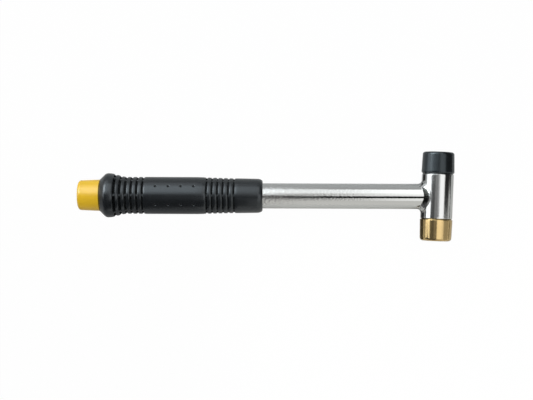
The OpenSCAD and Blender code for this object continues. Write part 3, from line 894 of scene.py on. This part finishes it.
# Cards near the hammer, seen only in reflections: colour, and two opposite corners or all
# corners in metres
flags = {
    "rightFlag": ((0.03, 0.03, 0.03), [
        (0.45, 0.6, 0.33), (0.45, -0.029, 0.33), (0.45, -0.029, 0.088), (0.45, -0.002, 0.088),
        (0.45, 0.002, 0.011), (0.45, 0.6, 0.011)]),
    "rightFoot": ((0.04, 0.04, 0.04), [
        (0.21, 0.6, 0.007), (0.21, -0.05, 0.007), (0.26, -0.05, 0.008), (0.26, 0.002, 0.008),
        (0.45, 0.002, 0.0115), (0.45, 0.6, 0.0115)]),
    "leftFootFar": ((0.04, 0.04, 0.04), [(0.1205, 0.0125, 0.0157), (0.1205, 0.0185, 0.0226)]),
    "leftFootNear": ((0.04, 0.04, 0.04), [(0.1205, -0.0125, 0.0157), (0.1205, -0.037, 0.0226)]),
    "brassCard": ((1.85, 1.85, 1.85), [(0.1325, -0.0183, 0.06), (0.1529, -0.05, 0.06)]),
    "gripCard": ((2.6, 2.8, 2.9), [(-0.62, 0.445, 1.22), (-0.05, 1.148, 0.61)]),
    "gripCardLeft": ((8.4, 8.8, 9.0), [(-2.2, 0.445, 1.22), (-0.621, 1.148, 0.61)]),
    "gripGlow": ((1.5, 1.6, 1.65), [(-1.8, 0.17, 1.22), (-0.05, 0.444, 1.22)]),
    "gripShade": ((0.08, 0.08, 0.08), [(-0.17, -0.035, 0.1), (-0.012, -0.3, 0.1)]),
}
cameraFlag = {
    "size": 3.0, "height": 0.68, "grey": 0.09, "middle": (-0.39, -0.12), "half": (0.375, 0.2),
    "softness": (0.16, 0.1),
    # a lighter patch and two darker ones on it: (grey, middle, half size, softness of the edges)
    "patches": [
        (0.4, (0.37, 0.0), (0.5, 1.0), (0.1, 0.1)), (0.02, (0.03, -0.11), (0.04, 0.105), (0.015, 0.008)),
        (0.02, (0.01, -0.06), (0.03, 0.085), (0.012, 0.01))],
}


def makeCamera(p):
    data = bpy.data.cameras.new("camera")
    data.sensor_width = p["sensorWidth"]
    data.lens = p["focalPixels"] / p["frameWidth"] * data.sensor_width
    camera = bpy.data.objects.new("camera", data)
    camera.location = (p["x"], p["y"], butt[2] + p["height"])
    camera.rotation_euler = (0, 0, math.radians(p["roll"]))
    bpy.context.scene.collection.objects.link(camera)
    bpy.context.scene.camera = camera


def stageSheet(name, corners, paint):
    # a flat sheet of the studio; paint fills its empty material and gives the shader
    material = bpy.data.materials.new(name)
    material.use_nodes = True
    tree = material.node_tree
    tree.nodes.clear()
    addNode(tree, "OutputMaterial", (paint(tree),))
    mesh = bpy.data.meshes.new(name)
    mesh.from_pydata(corners, [], [tuple(range(len(corners)))])
    mesh.materials.append(material)
    sheet = bpy.data.objects.new(name, mesh)
    bpy.context.scene.collection.objects.link(sheet)
    return sheet


def mixShaders(tree, share, under, over):
    return addNode(tree, "MixShader", (share, under.outputs[0], over.outputs[0])).outputs[0]


def makeFloor(p):
    # the hammer lies on its flare and its head, so the floor slopes from one to the other
    flareX = butt[0] + (gripPiece["start"] + gripPiece["flareRise"]) * mm
    headLow = butt[2] - rubberPiece["baseRadius"] * mm
    slope = headLow / (rubberSeat[0] - flareX)
    half = p["size"] / 2
    edges = ((-half, -half), (half, -half), (half, half), (-half, half))

    def paint(tree):
        # matt, nearly white to the camera and pale to metal, so that it keeps its shadows; its colour, which
        # the metal and rubber reflect, is darker to the left and on the far side as painted shade
        split = splitVector(tree, addNode(tree, "TexCoord").outputs["Object"])
        color, soft = p["leftColor"], p["softness"]
        for axis, side in (("X", "right"), ("Y", "far")):
            edge = p[side + "From"]
            mask = addRange(tree, split[axis], edge - soft, edge + soft, interpolation="SMOOTHSTEP")
            color = mixColors(tree, mask, color, p[side + "Color"])
        path = addNode(tree, "LightPath").outputs
        mirrored = addMath(tree, "MAXIMUM", path["Is Glossy Ray"], path["Is Transmission Ray"])
        share = addMath(tree, "ADD", addMath(tree, "MULTIPLY", mirrored, p["glossyWhite"]),
                        addMath(tree, "MULTIPLY", path["Is Camera Ray"], p["cameraWhite"]))
        return mixShaders(tree, share, addNode(tree, "BsdfDiffuse", {"Color": color}),
                          addNode(tree, "Emission"))

    stageSheet("floor", [(x, y, (x - flareX) * slope) for x, y in edges], paint)


def makeKeyLamp(p):
    # a long softbox on the rubber face's side, square on to the hammer
    data = bpy.data.lights.new("keyLamp", "AREA")
    data.shape = "RECTANGLE"
    data.size, data.size_y = p["length"], p["width"]
    data.energy = p["radiance"] * math.pi * p["width"] * p["length"]
    data.color = p["color"]
    turn = math.radians(p["turn"])
    lamp = bpy.data.objects.new("keyLamp", data)
    lamp.location = (p["x"], p["distance"] * math.sin(turn), butt[2] + p["distance"] * math.cos(turn))
    lamp.rotation_euler = (-turn, 0, 0)
    lamp.visible_camera = False
    bpy.context.scene.collection.objects.link(lamp)


def panelMask(tree, place, middle, half, soft):
    inputs = {"Place": place, "Middle": (*middle, 0), "Half Size": (*half, 0), "Softness": (*soft, 1)}
    return addNode(tree, "Group", inputs, node_tree=panelGroup).outputs["Mask"]


def makeFlag(name, corners, paint):
    # a card that only reflections see; paint gives its colour and where it is clear
    def cardPaint(tree):
        color, clear = paint(tree)
        return mixShaders(tree, clear, addNode(tree, "Emission", {"Color": color}),
                          addNode(tree, "BsdfTransparent"))

    flag = stageSheet(name, corners, cardPaint)
    for ray in ("camera", "diffuse", "transmission", "volume_scatter", "shadow"):
        setattr(flag, "visible_" + ray, False)


def cardCorners(a, b):
    # four corners from two opposite ones, of a card that stands across X or else lies along it
    if a[0] == b[0]:
        return [a, (a[0], b[1], a[2]), b, (a[0], a[1], b[2])]
    return [a, (b[0], a[1], a[2]), b, (a[0], b[1], b[2])]


def makeCard(name, color, corners):
    # a flag of one colour that is seen only from the hammer's side
    if len(corners) == 2:
        corners = cardCorners(*corners)
    a, b, c = (np.array(corner) for corner in corners[:3])
    if np.cross(b - a, c - b) @ (headMiddle - a) < 0:
        corners = corners[::-1]
    makeFlag(name, corners, lambda tree: (color, addNode(tree, "NewGeometry").outputs["Backfacing"]))


def makeCameraFlag(p):
    # the dark round the camera that the polished metal shows: a soft-edged sheet with patches
    size, z = p["size"], p["height"]

    def paint(tree):
        place = addNode(tree, "TexCoord").outputs["Object"]
        color = (p["grey"],) * 3
        for grey, middle, half, soft in p["patches"]:
            color = mixColors(tree, panelMask(tree, place, middle, half, soft), color, (grey,) * 3)
        shown = panelMask(tree, place, p["middle"], p["half"], p["softness"])
        return color, addMath(tree, "SUBTRACT", 1, shown)

    makeFlag("cameraFlag", [(-size, -size, z), (size, -size, z), (size, size, z), (-size, size, z)], paint)


def makeWorld():
    # the studio's softboxes and walls as light and in reflections, and plain white behind the object
    world = bpy.data.worlds.new("studio")
    bpy.context.scene.world = world
    world.use_nodes = True
    tree = world.node_tree
    split = splitVector(tree, addNode(tree, "TexCoord").outputs["Generated"])
    tilt = addMath(tree, "DEGREES", addMath(tree, "ARCSINE", split["X"]))
    turn = addMath(tree, "DEGREES", addMath(tree, "ARCTAN2", split["Y"], split["Z"]))
    place = addNode(tree, "CombineXYZ", (tilt, turn)).outputs[0]
    light = walls
    for color, middle, half, soft in panels.values():
        light = mixColors(tree, panelMask(tree, place, middle, half, soft), light, color)
    seen = addNode(tree, "LightPath").outputs["Is Camera Ray"]
    tree.links.new(mixColors(tree, seen, light, (1, 1, 1)), tree.nodes["Background"].inputs["Color"])


makeCamera(view)
makeFloor(floorStage)
makeKeyLamp(keyLamp)
makeWorld()
makeCameraFlag(cameraFlag)
for flagName, (flagColor, flagCorners) in flags.items():
    makeCard(flagName, flagColor, flagCorners)
bpy.context.scene.view_settings.view_transform = "Standard"
print("studio ready")
